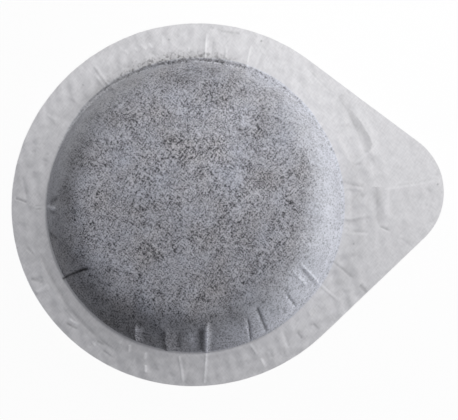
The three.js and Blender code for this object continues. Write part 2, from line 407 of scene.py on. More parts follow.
# Creases in the sealed rim, round from the tab, painted lighter along their ridges and darker in their
# creases as painted highlights and shade, and broad paler and darker bands
RIM_CREASES = (
    Fold(((45, 2), (45, 3.6)), -0.08, -0.04, 0.15, (0.4, 0.4), (0.4, 0.4)),
    Fold(((59.2, 5.4), (57.2, 5.4)), -0.06, -0.12, 0.3),
    Fold(((68.2, 5.9), (66.8, 5.4)), -0.06, -0.13, 0.25),
    Fold(
        ((66.4, 0.3), (67.4, 2.4), (67.8, 4.3)),
        0.08, 0.22, 0.12, (0.3, 0.8), (0.35, 0.35), sides=(-0.06, 0),
    ),
    Fold(((80.2, 5.5), (78.2, 5.1), (75, 5.2), (72.2, 5.3)), -0.06, -0.13, 0.2, (0.3, 0.4)),
    Fold(((82.2, 5.8), (80.8, 5.3)), -0.06, -0.13, 0.2, (0.2, 0.2)),
    Fold(((80.6, 1.2), (80.4, 3.6)), -0.08, -0.13, 0.14, (0.4, 0.5), sides=(0, 0.07)),
    Fold(((74.8, 0.7), (76, 3.2)), 0.08, 0.14, 0.12, (0.3, 0.5)),
    Fold(((82.8, 0.5), (83, 2.4), (83, 4.7)), 0.1, 0.26, 0.12, (0.2, 0.5), (0.4, 0.4), sides=(-0.12, 0)),
    Fold(((89, 0.8), (89, 2.6)), 0.08, 0.16, 0.12, (0.3, 0.4)),
    # Painted shade: a thin dark line in the fold along the far foot
    Fold(
        (
            (88, 0.4), (97.8, 0.4), (105.4, 0.4), (111.8, 0.5), (123.2, 0.6), (130.6, 0.6), (138, 0.4),
            (145.2, 0.3), (152.4, 0.2), (158, 0.1), (165.2, -0.1), (171.2, -0.2),
        ),
        0, -0.12, 0.13, (2, 3),
    ),
    # Painted shadow: a soft darker band on the flange just outside the far foot, beside the wall
    Fold(
        (
            (56, 0.4), (66, 0.4), (76, 0.4), (88, 0.4), (97.8, 0.4), (111.8, 0.5), (123.2, 0.6),
            (130.6, 0.6), (145, 0.4),
        ),
        0, 0, 0.15, (10, 8), (0.3, 1.6), sides=(0, -0.3),
    ),
    # Painted highlight along the fold at the far foot
    Fold(((88.4, 0.35), (84, 0.15), (79, 0.1), (72.8, 0.1), (70.4, -0.8)), 0, 0.35, 0.25, (0.8, 0.8)),
    Fold(((57.2, 0.1), (52, -0.4), (46.8, -0.4), (44.6, 0.1)), 0, 0.15, 0.3, (0.5, 0.5)),
    Fold(((43.2, 0.2), (40, 0.3)), 0, -0.15, 0.18, (0.4, 0.4)),
    Fold(((37.4, 0.1), (35.2, 0.2)), 0, -0.2, 0.18, (0.4, 0.4)),
    Fold(((97.8, 3), (97.4, 5)), 0.08, 0.14, 0.12, (0.3, 0.6), (0.4, 0.4)),
    Fold(((101.4, 3), (102.4, 4.1)), 0.06, 0.22, 0.12, (0.2, 0.2)),
    Fold(((103.6, 3.1), (104.8, 4.2)), 0.06, 0.22, 0.12, (0.2, 0.2)),
    Fold(((106.4, 3.2), (107.4, 4.1)), 0.06, 0.2, 0.12, (0.2, 0.2)),
    Fold(((110, 3.4), (110.6, 4.4)), 0.06, 0.2, 0.12, (0.2, 0.2)),
    Fold(((121.5, 0.5), (121.8, 4.6)), 0.12, 0.16, 0.12, (0.3, 0.6), (0.4, 0.4), sides=(-0.06, 0)),
    Fold(((123.2, 1), (123.4, 3.6)), 0.1, 0.12, 0.12, (0.3, 0.6), (0.4, 0.4)),
    Fold(((144.4, 2.5), (144.4, 4.6)), 0.1, 0.03, 0.15, (0.4, 0.6), (0.4, 0.4)),
    Fold(((156.6, 1.1), (157, 2)), -0.06, -0.1),
    Fold(((157, 3.1), (157.8, 4)), -0.06, -0.1),
    Fold(((159.2, 0.9), (159.2, 2)), -0.06, -0.1),
    Fold(((165.6, 4.3), (170.4, 3.4), (174.2, 3)), -0.06, -0.06, 0.2, (0.8, 0.5), (0.4, 0.4)),
    Fold(((173.8, 4.8), (174.4, 3.9), (175.2, 2.9)), -0.1, -0.25, 0.14, (0.2, 0.4)),
    Fold(((176.2, 0.7), (176.4, 1.8)), -0.06, -0.2, 0.14),
    Fold(((177.4, 0.6), (177.6, 1.8)), -0.06, -0.2, 0.14),
    Fold(((190, 3.7), (194, 2.8)), -0.08, -0.15, 0.16, (0.4, 0.4), (0.35, 0.35)),
    Fold(((200.8, 4.6), (204, 2.9)), -0.1, -0.2, 0.2, (0.3, 0.5), (0.4, 0.4)),
    Fold(((205.6, 2.4), (205.6, 3.6), (205.8, 4.8)), 0.12, 0.12, 0.25, (0.4, 0.4), (0.4, 0.4)),
    Fold(
        (
            (193, 1.8), (200, 1.7), (205.2, 1.6), (210.6, 1.6), (216.6, 1.9), (225, 1.9), (232.4, 2.2),
            (240.2, 2.6),
        ),
        -0.1, -0.2, 0.22, (1.5, 2.5), (0.5, 0.5),
    ),
    Fold(((219, 3), (221.6, 2.8), (223.4, 2.4)), 0.1, 0.25, 0.22, (0.4, 0.4)),
    Fold(((219.6, 3.7), (222.2, 3.4), (224, 3)), -0.1, -0.2, 0.2, (0.4, 0.4)),
    Fold(((230.2, 3.1), (232.4, 3.4)), 0.08, 0.25, 0.2, (0.2, 0.2)),
    Fold(((231.4, 2.7), (234.8, 2.6)), -0.08, -0.2, 0.2),
    Fold(((235, 3.3), (239.6, 3.6)), -0.08, -0.16, 0.2, (0.4, 0.4)),
    Fold(((238.4, 0.9), (240.2, 1.1)), 0.1, 0.3, 0.16, (0.2, 0.2)),
    Fold(((242.6, 0.6), (243.8, 1.9)), 0.12, 0.55, 0.14, (0.2, 0.3), (0.35, 0.35)),
    Fold(((249.2, 0.9), (250.2, 2.1)), 0.1, 0.4, 0.14, (0.2, 0.3), (0.35, 0.35), sides=(0, -0.12)),
    Fold(((250.6, 2.7), (251.6, 4)), 0.12, 0.55, 0.14, (0.2, 0.3), (0.35, 0.35), sides=(0, -0.12)),
    Fold(((261.8, 0.4), (263.4, 2.8), (264, 4.5)), 0.1, 0.38, 0.12, (0.3, 0.6)),
    Fold(((272.4, 0), (270.8, 4.8)), 0.12, 0.42, 0.11, (0.1, 0.4)),
    Fold(((289.2, 0.2), (290.2, 2.1)), 0.08, 0.3, 0.12, sides=(0, -0.1)),
    Fold(((290.8, 2.9), (291, 4.6)), 0.08, 0.28, 0.12, (0.3, 0.6)),
    Fold(((306, 2.4), (306, 3.8)), -0.1, -0.2, 0.15, (0.3, 0.4), sides=(0, 0.12)),
    Fold(((314.2, 1.2), (313.6, 2.4)), 0.08, 0.2, 0.12, sides=(-0.12, 0)),
    Fold(((312, 3), (312, 4.5)), -0.08, -0.07),
    Fold(((324.8, 0.1), (323.4, 4)), 0.06, 0.04, 0.15, (0.2, 0.8)),
    # Painted highlight: thin pale lines along the foot on the lower left and at the bottom, where its
    # rounding is shaded
    Fold.ring(200, 245, 0.1, 0.08, 0.25, (4, 4)),
    Fold.ring(240, 292, 0.1, 0.28, 0.25, (4, 4)),
    Fold.ring(104, 164, 4.6, 0.1, 1.5, (6, 6)),
    Fold.ring(190, 245, 3.2, 0.09, 1.8, (6, 4)),
    Fold.ring(322, 380, 2.4, -0.12, 2.2, (5, 6)),
    Fold(((331.2, 5.4), (330, 7)), -0.15, -0.27, 0.28, (0.2, 0.3), (0.4, 0.4)),
    Fold(((335, 0.3), (333.6, 2.2), (332.4, 4.2)), -0.08, -0.17, 0.15, (0.3, 0.5)),
)

# Folds in the pull tab, from its far side to its near side, with painted shade on their flanks and
# painted highlights along their ridges
TAB_FOLDS = (
    Fold(
        ((48.6, 5.1), (45.4, 4.9), (41.8, 4.8), (39, 4.8), (36.8, 4.9)),
        -0.08, -0.1, 0.15, (0.4, 0.6), (0.8, 0.3), sides=(0.03, 0),
    ),
    Fold(((34.2, 5.1), (34.6, 6.1)), -0.1, -0.14, 0.16, (0.1, 0.4)),
    Fold(
        (
            (34.2, 5.1), (32.4, 5.1), (29.6, 5.1), (26.8, 5), (24.6, 4.9), (22, 4.9), (19.2, 4.8),
            (16.2, 4.9), (14, 5),
        ),
        0, -0.04, 0.12, (0.2, 5), (1.2, 0.8), sides=(-0.18, -0.06),
    ),
    Fold(
        (
            (32.6, 5.4), (27.8, 5.7), (24.2, 6), (21, 6.1), (19, 6.3), (17.4, 6.3), (16, 6.2), (14.8, 5.7),
            (13.8, 5.1),
        ),
        0.15, 0.02, 0.15, (5, 0.4), (1.2, 1.3), sides=(0.03, -0.17),
    ),
    Fold(((13.6, 5.1), (15, 6.4), (17, 7)), 0.06, 0.05, 0.15, (0.1, 0.5)),
    Fold(((14.2, 5.3), (13, 4.2), (11.4, 2.8)), 0.1, 0.06, 0.15, (0.2, 0.6), (0.35, 0.35)),
    Fold(((12.8, 5.4), (10, 5.5), (6.2, 5.4), (3, 5.4)), -0.06, -0.05, 0.15, (0.5, 0.3), (0.4, 0.4)),
    Fold(((24.6, 1.8), (18.6, 1.8), (11, 2.5)), 0.08, 0.03, 0.25, (1, 1), (0.5, 0.5), sides=(0, -0.04)),
    Fold(((23.2, 3.1), (17.8, 3.3)), 0.06, 0.03, 0.25, (0.8, 0.8), (0.4, 0.4), sides=(0, -0.04)),
    Fold(((6.6, 0.3), (4.6, 2), (3.2, 3.6)), -0.06, -0.08, 0.16, (0.3, 0.5), (0.4, 0.4)),
    Fold(((3.4, -1.4), (3.6, 1), (3, 2.5), (2.2, 3.6)), 0.08, 0.05, 0.3, (0.5, 0.6), (0.5, 0.5)),
    Fold(
        ((1.8, 6.3), (1.8, 8.8), (2.2, 11.8), (2.8, 15)),
        0.12, 0.04, 0.4, (0.6, 0.3), (1, 2.5), sides=(0, -0.03),
    ),
    Fold(((2.6, 8), (2.8, 11.6), (3.4, 14.6)), -0.04, -0.035, 0.15, (0.8, 0.4)),
    Fold(
        ((3, 5.3), (-1.2, 5.25), (-5.4, 5.35), (-9.6, 5.6)),
        -0.05, -0.03, 0.12, (0.15, 1.2), (1.3, 0.8), sides=(-0.19, -0.12),
    ),
    Fold(((2.2, 6.8), (-1.4, 6.8), (-5, 6.8), (-8, 7)), 0.1, 0.08, 0.45, (0.2, 1.5), (0.6, 0.9)),
    Fold.ring(3, -7, 1.2, 0.07, 0.35, (0.3, 2), height=0.06, flanks=(0.5, 0.5)),
    Fold.ring(3, -12, 1.8, -0.05, 0.2, (0.3, 2), height=-0.04, flanks=(0.4, 0.4)),
    Fold.ring(1, -13, 3.5, 0.05, 0.35, (0.5, 4), height=0.08, flanks=(0.6, 0.6)),
    Fold(((350.6, 5.8), (350, 6.7), (349.4, 7.6)), -0.12, -0.2, 0.14, (0.2, 0.6)),
    Fold(((349.2, 6), (346.4, 6.6), (343.6, 7)), 0, -0.05, 0.5, (0.4, 0.8)),
    Fold(((352.2, 0.3), (352.2, 1.4)), 0.07, 0.03, flanks=(0.4, 0.4)),
    Fold(((349.2, 0.4), (349, 1.6)), 0.07, 0.03, flanks=(0.4, 0.4)),
    Fold(((346.8, 0.8), (346.5, 1.9)), 0.07, 0.03, flanks=(0.4, 0.4)),
    Fold(((1.2, 12.5), (0, 13.5)), -0.08, -0.06),
    Fold(((357, 12), (356.6, 13.6)), -0.06, -0.04),
    Fold(((348, 9), (346.4, 10.8)), -0.06, -0.04, 0.15, (0.4, 0.4)),
)


def scattered_creases(seed: int, count: int, reach: Pair, height: float) -> tuple[Fold, ...]:
    """Scatters short creases round the pod, mostly square to the rim.

    Args:
        seed: Start of the random places.
        count: How many there are.
        reach: Where they lie, in mm outwards from the foot of the wall.
        height: The most that one stands out or is pressed in, in mm.

    Returns:
        The creases.
    """
    skew = 1.5  # degrees
    shortest = 0.6  # mm
    soft = (0.4, 0.4)  # mm
    relief_per_tone = 3  # mm
    random = np.random.default_rng(seed)
    creases = []
    for place in np.linspace(0, 360, count, endpoint=False):
        degrees = place + random.uniform(0, 360 / count)
        start, end = np.sort(random.uniform(*reach, 2))
        path = ((degrees, start), (degrees + random.normal(0, skew), end + shortest))
        rise = random.uniform(-height, height)
        # Painted highlight and painted shade: each line is lighter where it stands out and darker where it is
        # pressed in
        creases.append(Fold(path, rise, rise / relief_per_tone, fade=soft, flanks=soft))
    return tuple(creases)


@dataclass(frozen=True)
class CoffeeTrace:
    """How the coffee shows through a sheet, with painted shade on its shoulder.

    The first six values are pairs of degrees round from the tab and a value. Places and lengths are in mm,
    and places on the sheet are outwards from the foot of the wall.

    Attributes:
        wall: How much of it shows through the wall.
        edge: How far out it shows.
        contact: How closely the wall lies on the grounds, where they show as grains; where it is low, on
        the side away from the lamps, the pale paper is painted in a darker shaded colour.
        shoulder: How much darker the shoulder is painted: painted shade, mostly on the side away from the
        lamps.
        below: How much darker they make the wall just below the shoulder.
        dust: How much of it has sifted out along the foot.
        patches: Pale and dark patches of the top, each with its x and y from the axis, its reach, and how
            much lighter it is.
        edge_blur: Width of the edge.
        inner: Where it starts to show in full, and the length over which it comes to.
        grainy: Where the grounds start to show as grains all round, and the length over which they come to.
        shoulder_band: Middle of the dark shoulder, and its reach.
        below_band: The same for the wall below it.
        dust_band: The same for the dust.
    """

    wall: Pairs = ((0, 0.7),)
    edge: Pairs = ((0, 0.0),)
    contact: Pairs = ((0, 0.6),)
    shoulder: Pairs = ((0, 0.0),)
    below: Pairs = ((0, 0.0),)
    dust: Pairs = ((0, 0.0),)
    patches: tuple[tuple[float, float, float, float], ...] = ()
    edge_blur: float = 0.25
    inner: Pair = (-4.6, 6.5)
    grainy: Pair = (-5.0, 3.5)
    shoulder_band: Pair = (-7.6, 1.9)
    below_band: Pair = (-5.2, 1.6)
    dust_band: Pair = (0.9, 0.8)

    def marks(self, degrees: Array, outward: Array, plan: Array) -> dict[Mark, Array]:
        """Works out the marks of the coffee on a sheet.

        Args:
            degrees: Each point's angle round from the tab.
            outward: Its distance outwards from the foot of the wall, in mm.
            plan: Its place in plan, in mm.

        Returns:
            The marks' values at each point.
        """
        tables = (self.wall, self.edge, self.contact, self.shoulder, self.below, self.dust)
        values = (np.interp(degrees, *zip(*table), period=360) for table in tables)
        wall, edge, contact, shoulder, below, dust = values
        inner, grainy = (smooth((start - outward) / run) for start, run in (self.inner, self.grainy))
        # Painted shade on the shoulder, a darker band of the wall below it, and the top's pale and dark
        # coffee patches
        tone = -shoulder * bell(outward, *self.shoulder_band) - below * bell(outward, *self.below_band)
        for x, y, reach, lighter in self.patches:
            tone += lighter * np.exp(-((plan - (x, y)) ** 2).sum(axis=1) / reach**2)
        return {
            Mark.COFFEE: smooth((edge - outward) / self.edge_blur + 0.5) * (wall + (1 - wall) * inner),
            Mark.GRAIN: contact + (1 - contact) * grainy,
            Mark.DUST: dust * bell(outward, *self.dust_band),
            Mark.PAINTED_LIGHT_AND_TONE: tone,
        }


# The upper wall lies on the grounds on the left, and stands clear of them on the right
UPPER_TRACE = CoffeeTrace(
    wall=(
        (0, 0.2), (15, 0.24), (30, 0.38), (45, 0.58), (60, 0.7), (75, 0.85), (90, 0.95), (105, 0.82),
        (120, 0.64), (135, 0.55), (150, 0.41), (165, 0.38), (180, 0.6), (195, 0.8), (205, 0.95), (225, 1),
        (245, 1), (255, 0.9), (270, 0.5), (285, 0.34), (300, 0.18), (315, 0.12), (345, 0.12),
    ),
    edge=(
        (30, 0.4), (45, 0.6), (60, 0.85), (75, 0.7), (90, 0.55), (105, 0.6), (120, 0.7), (135, 0.5),
        (150, 0.05), (165, -0.35), (180, -0.48), (195, -0.6), (225, -0.62), (240, -0.5), (255, -0.62),
        (270, -0.45), (285, -0.28), (300, 0), (315, 0.1), (330, 0.4),
    ),
    contact=((60, 1), (90, 0.8), (120, 0.65), (245, 0.65), (265, 0.8), (280, 1)),
    shoulder=(
        (0, 0.1), (15, 0.12), (30, 0.12), (45, 0.15), (60, 0.1), (75, 0.15), (90, 0.26), (105, 0.15),
        (120, 0.18), (135, 0.26), (150, 0.4), (165, 0.48), (180, 0.45), (195, 0.25), (210, 0.25),
        (225, 0.08), (240, 0.2), (252, 0.35), (285, 0.34), (300, 0.25), (315, 0.12), (330, 0.03),
    ),
    below=(
        (0, 0), (15, 0.1), (30, 0.12), (45, 0.2), (60, 0.17), (75, 0.25), (90, 0.12), (105, 0.06),
        (120, 0.14), (135, 0.12), (150, 0.06), (180, 0),
    ),
    dust=((66, 0), (78, 0.5), (90, 0.65), (112, 0.65), (128, 0)),
    patches=(
        (4, 8, 4, 0.14), (6.5, 12, 3, 0.1), (-13.5, 2.5, 2.4, 0.13), (-10.5, -9, 2.4, 0.12),
        (-0.5, 0.5, 2, 0.1), (8.5, -1, 2.2, 0.08), (6, -14.5, 2.5, -0.15), (-6.5, -0.5, 2.2, -0.12),
        (7.5, -5, 2.4, -0.12), (-2, -4.5, 2.2, -0.11), (11.5, 10, 2.4, -0.1), (9.5, -11, 2.4, -0.1),
    ),
)


@dataclass(frozen=True)
class FilterPaper:
    """Filter paper: wet-laid from long plant fibres, thin, soft and matt.

    Sealed flat it is an even off-white with a faint crinkle. Over the coffee the dark grounds show between
    its pale fibres, more of them in some patches than in others. Sizes are in mm. The fibres and pits are
    drawn a little coarser than real ones, which would be too fine to show, and longer up the walls, where
    the paper is stretched.
    """

    sealed: str = "#dddcdd"
    clear: str = "#e6e8ef"
    cool_fibre: str = "#c2c7d4"
    warm_fibre: str = "#cac5c4"
    # Painted shade: a darker neutral colour for the pale fibres where the wall stands off the grounds, on the
    # side away from the lamps
    shaded: str = "#bdbbb8"
    ground: str = "#404043"
    dust: str = "#55524f"
    roughness: float = 0.9
    specular: float = 0.2

    # Sizes and shape of the pattern
    pit_size: float = 0.18
    fibre_length: float = 0.8
    fibre_width: float = 0.18
    fibre_turns: tuple[float, ...] = (51.0, 130.0)
    patch_size: float = 5.0
    cloud_size: float = 1.6
    speck_size: float = 0.5
    fleck_spacing: float = 8.0
    spot_roughness: float = 0.6
    crinkle: float = 0.02
    wall_squeeze: float = 0.4

    # How deep the coffee shows: what each part of the pattern adds, and how sharply it tells
    pit_depth: float = 1.4
    fibre_depth: float = -1.4
    patch_depth: float = 0.4
    cloud_depth: float = 0.3
    coffee_depth: float = 0.28
    least_depth: float = -0.1
    grain_power: float = 1.3

    # How strong the rest is: a factor, or a factor and what is added to it
    haze: Pair = (0.6, 0.38)
    density: Pair = (0.4, 0.6)
    sealed_level: Pair = (0.32, 0.81)
    sealed_cloud: float = 0.06
    fleck_level: Pair = (0.8, 0.5)

    # Where the coffee, a fleck and a speck of dust begin and end to show, the coffee from 0
    coffee_limit: float = 0.12
    fleck_limits: Pair = (0.01, 0.024)
    speck_limits: Pair = (0.46, 0.64)

    def material(self) -> bpy.types.Material:
        """Builds the material.

        Returns:
            The paper, which reads the marks at a sheet's points.
        """
        material = new_material(Slot.FILTER_PAPER.value)
        tree = material.node_tree
        place = add_node(tree, "TexCoord").outputs["Object"]
        squeeze = (1.0, 1.0, self.wall_squeeze)
        place = add_node(tree, "VectorMath", {0: place, 1: squeeze}, operation="MULTIPLY")
        marks = {mark: add_node(tree, "Attribute", attribute_name=mark.value).outputs["Fac"] for mark in Mark}
        patch = self._spots(tree, place, self.patch_size, 2.0)
        cloud = self._spots(tree, place, self.cloud_size, 0.0)
        fibres = self._fibres(tree, place)
        over = self._over_coffee(tree, place, fibres, patch, cloud, marks)
        covered = add_node(
            tree, "MapRange", {"Value": marks[Mark.COFFEE], "From Min": 0.0, "From Max": self.coffee_limit}
        )
        sealed = self._sealed(tree, place, fibres, cloud)
        colour = add_node(tree, "Mix", {0: covered, COLOUR_A: sealed, COLOUR_B: over}, data_type="RGBA")
        colour = self._dusted(tree, colour, place, marks[Mark.DUST])
        # The folds' and the shoulder's painted light and shade, with the top's coffee patches, scale the
        # colour
        tone = add_node(tree, "Math", {0: marks[Mark.PAINTED_LIGHT_AND_TONE], 1: 1.0}, operation="ADD")
        colour = add_node(tree, "VectorMath", {0: colour, "Scale": tone}, operation="SCALE")
        normal = add_node(tree, "Bump", {"Height": cloud, "Distance": self.crinkle * MM, "Strength": 1.0})
        matt = {"Roughness": self.roughness, "Specular IOR Level": self.specular}
        shader = add_node(tree, "BsdfPrincipled", {"Base Color": colour, **matt, "Normal": normal})
        add_node(tree, "OutputMaterial", {"Surface": shader})
        return material

    def _spots(self, tree: Tree, place: Source, size: float, detail: float) -> Source:
        """Adds irregular spots of a size in mm."""
        pattern = {"Scale": 1 / (size * MM), "Detail": detail, "Roughness": self.spot_roughness}
        return add_node(tree, "TexNoise", {"Vector": place, **pattern})

    def _sealed(self, tree: Tree, place: Source, fibres: Source, cloud: Source) -> Source:
        """Colours the sealed paper: off-white and a little cloudy, with a few dark flecks.

        Args:
            tree: The material's nodes.
            place: Where the surface is.
            fibres: How high the fibres lie.
            cloud: Small cloudy spots.

        Returns:
            The colour.
        """
        factor, least = self.sealed_level
        level = add_node(tree, "Math", {0: fibres, 1: factor, 2: least}, operation="MULTIPLY_ADD")
        level = add_node(tree, "Math", {0: cloud, 1: self.sealed_cloud, 2: level}, operation="MULTIPLY_ADD")
        spacing = self.fleck_spacing * MM
        flecks = add_node(
            tree, "TexVoronoi", {"Vector": place, "Scale": 1 / spacing}, voronoi_dimensions="2D"
        ).outputs
        factor, least = self.fleck_level
        darkness = add_node(
            tree, "Math", {0: flecks["Color"], 1: factor, 2: least}, operation="MULTIPLY_ADD", use_clamp=True
        )
        inside, outside = self.fleck_limits
        reach = {"Value": flecks["Distance"], "From Min": inside, "From Max": outside}
        clean = add_node(tree, "MapRange", {**reach, "To Min": darkness, "To Max": 1.0})
        level = add_node(tree, "Math", {0: level, 1: clean}, operation="MULTIPLY")
        sealed = hex_to_linear(self.sealed)[:3]
        return add_node(tree, "VectorMath", {0: sealed, "Scale": level}, operation="SCALE")

    def _fibres(self, tree: Tree, place: Source) -> Source:
        """Lays fibres across each other.

        Args:
            tree: The material's nodes.
            place: Where the surface is.

        Returns:
            How high the fibres lie, mostly from 0.35 to 0.65.
        """
        size = (self.fibre_length * MM, self.fibre_width * MM, self.fibre_width * MM)
        share = 1 / len(self.fibre_turns)
        laid = 0.0
        for turn in self.fibre_turns:
            laying = {"Vector": place, "Rotation": (0, 0, math.radians(turn)), "Scale": size}
            lane = add_node(tree, "Mapping", laying, vector_type="TEXTURE")
            fibre = add_node(tree, "TexNoise", {"Vector": lane, "Scale": 1.0, "Detail": 0.0})
            laid = add_node(tree, "Math", {0: fibre, 1: share, 2: laid}, operation="MULTIPLY_ADD")
        return laid

    def _over_coffee(
        self,
        tree: Tree,
        place: Source,
        fibres: Source,
        patch: Source,
        cloud: Source,
        marks: dict[Mark, Source],
    ) -> Source:
        """Colours the paper that lies over coffee.

        Args:
            tree: The material's nodes.
            place: Where the surface is.
            fibres: How high the fibres lie.
            patch: Large patches with more or less coffee.
            cloud: Small ones.
            marks: The marks at the sheet's points.

        Returns:
            The colour.
        """
        coffee = marks[Mark.COFFEE]
        terms = (
            (self._spots(tree, place, self.pit_size, 0.0), self.pit_depth),
            (fibres, self.fibre_depth),
            (patch, self.patch_depth),
            (cloud, self.cloud_depth),
            (coffee, self.coffee_depth),
        )
        depth = self.least_depth
        for term, weight in terms:
            depth = add_node(tree, "Math", {0: term, 1: weight, 2: depth}, operation="MULTIPLY_ADD")
        depth = add_node(tree, "Clamp", {"Value": depth})
        grains = add_node(tree, "Math", {0: depth, 1: self.grain_power}, operation="POWER")
        factor, least = self.haze
        cloudy = add_node(tree, "Math", {0: cloud, 1: factor, 2: least}, operation="MULTIPLY_ADD")
        even = add_node(tree, "Math", {0: coffee, 1: cloudy}, operation="MULTIPLY")
        contact = marks[Mark.GRAIN]
        shown = add_node(tree, "Mix", {0: contact, NUMBER_A: even, NUMBER_B: grains}, data_type="FLOAT")
        factor, least = self.density
        dense = add_node(tree, "Math", {0: coffee, 1: factor, 2: least}, operation="MULTIPLY_ADD")
        shown = add_node(tree, "Math", {0: shown, 1: dense}, operation="MULTIPLY")
        clear, cool, warm, shaded, ground = (
            hex_to_linear(code)
            for code in (self.clear, self.cool_fibre, self.warm_fibre, self.shaded, self.ground)
        )
        fibre = add_node(tree, "Mix", {0: patch, COLOUR_A: cool, COLOUR_B: warm}, data_type="RGBA")
        pale = add_node(tree, "Mix", {0: coffee, COLOUR_A: clear, COLOUR_B: fibre}, data_type="RGBA")
        # Painted shade: where the wall stands off the grounds, on the side away from the lamps, the pale
        # fibres take the shaded colour
        pale = add_node(tree, "Mix", {0: contact, COLOUR_A: shaded, COLOUR_B: pale}, data_type="RGBA")
        return add_node(tree, "Mix", {0: shown, COLOUR_A: pale, COLOUR_B: ground}, data_type="RGBA")

    def _dusted(self, tree: Tree, colour: Source, place: Source, dust: Source) -> Source:
        """Lays specks of coffee dust over a colour.

        Args:
            tree: The material's nodes.
            colour: The colour.
            place: Where the surface is.
            dust: How much dust there is.

        Returns:
            The colour with the dust.
        """
        spots = self._spots(tree, place, self.speck_size, 1.0)
        clear, full = self.speck_limits
        speck = add_node(tree, "MapRange", {"Value": spots, "From Min": clear, "From Max": full})
        cover = add_node(tree, "Math", {0: speck, 1: dust}, operation="MULTIPLY")
        dark = hex_to_linear(self.dust)
        return add_node(tree, "Mix", {0: cover, COLOUR_A: colour, COLOUR_B: dark}, data_type="RGBA")


@dataclass(frozen=True)
class GroundCoffee:
    """Ground roast coffee, pressed: dark brown grains with paler chaff, dry and without gloss.

    The grain size is in mm.
    """

    dark: str = "#2a1a10"
    brown: str = "#55371f"
    grain_size: float = 0.5
    roughness: float = 0.95

    def material(self) -> bpy.types.Material:
        """Builds the material.

        Returns:
            The coffee.
        """
        material = new_material(Slot.GROUND_COFFEE.value)
        tree = material.node_tree
        place = add_node(tree, "TexCoord").outputs["Object"]
        grains = add_node(tree, "TexVoronoi", {"Vector": place, "Scale": 1 / (self.grain_size * MM)}).outputs
        dark, brown = hex_to_linear(self.dark), hex_to_linear(self.brown)
        colour = add_node(
            tree, "Mix", {0: grains["Color"], COLOUR_A: dark, COLOUR_B: brown}, data_type="RGBA"
        )
        relief = {"Height": grains["Distance"], "Distance": self.grain_size * MM / 2, "Strength": 1.0}
        normal = add_node(tree, "Bump", relief, invert=True)
        dull = {"Base Color": colour, "Roughness": self.roughness, "Normal": normal}
        shader = add_node(tree, "BsdfPrincipled", dull)
        add_node(tree, "OutputMaterial", {"Surface": shader})
        return material


